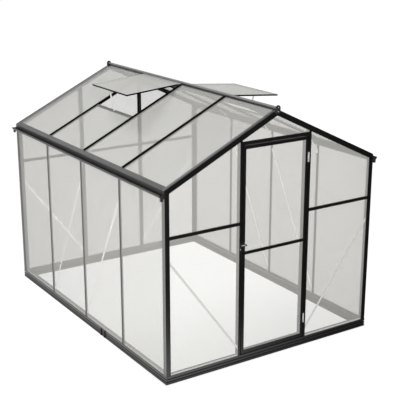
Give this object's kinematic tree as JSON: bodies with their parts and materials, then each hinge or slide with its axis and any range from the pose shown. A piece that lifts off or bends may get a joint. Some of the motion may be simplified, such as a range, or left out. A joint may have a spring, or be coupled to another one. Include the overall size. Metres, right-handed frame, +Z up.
{
  "type": "polycarbonate greenhouse",
  "caption": "Gable-roofed walk-in greenhouse with a slim black frame, clear sheet glazing, gutters, a hinged door and propped roof vents.",
  "frame": {"origin": "on the ground, in the middle of the base", "axes": "+Z up, +Y from the door gable to the back gable, +X to the right seen from the door side"},
  "size_m": [1.982, 2.6013, 1.9429],
  "materials": {
    "black_frame": "satin black powder coat on aluminium extrusion",
    "clear_sheet": "clear hazy polycarbonate sheet",
    "black_plastic": "moulded black plastic",
    "bare_aluminium": "mill-finish aluminium strip",
    "bright_steel": "zinc-plated steel"
  },
  "bodies": {
    "frame": {"sill_front": "black_frame", "sill_back": "black_frame", "sill_left": "black_frame", "sill_right": "black_frame", "sill_splices": "black_frame", "front_corner_posts": "black_frame", "back_corner_posts": "black_frame", "door_posts": "black_frame", "back_posts": "black_frame", "front_rafters": "black_frame", "back_rafters": "black_frame", "ridge_beam": "black_frame", "ridge_end_caps": "black_plastic", "gutter_left": "black_frame", "gutter_right": "black_frame", "gutter_spouts": "black_plastic", "left_wall_bars": "black_frame", "right_wall_bars": "black_frame", "left_roof_bars": "black_frame", "right_roof_bars": "black_frame", "door_head": "black_frame", "front_mid_rails": "black_frame", "back_mid_rails": "black_frame", "vent_sills": "black_frame", "gable_braces": "bare_aluminium", "side_braces": "bare_aluminium", "eave_brackets": "bare_aluminium", "left_wall_panels": "clear_sheet", "right_wall_panels": "clear_sheet", "front_panels": "clear_sheet", "back_panels": "clear_sheet", "left_roof_panels": "clear_sheet", "right_roof_panels": "clear_sheet", "vent_frames": "black_frame", "vent_panels": "clear_sheet", "vent_stays": "bare_aluminium", "hinge_post_leaves": "bright_steel", "latch_keeper": "black_plastic"},
    "door": {"door_stiles": "black_frame", "door_rails": "black_frame", "door_panels": "clear_sheet", "hinge_door_leaves": "bright_steel", "latch_plate": "black_plastic"},
    "latch": {"latch_lever": "black_plastic"}
  },
  "joints": [
    {"name": "door_swing", "type": "hinge", "parent": "frame", "child": "door", "pos_m": [0.2985, -1.289, 0.88], "axis": [0, 0, 1], "range_deg": [0, 165]},
    {"name": "latch_turn", "type": "hinge", "parent": "door", "child": "latch", "pos_m": [-0.283, -1.295, 0.943], "axis": [0, -1, 0], "range_deg": [0, 90]}
  ]
}
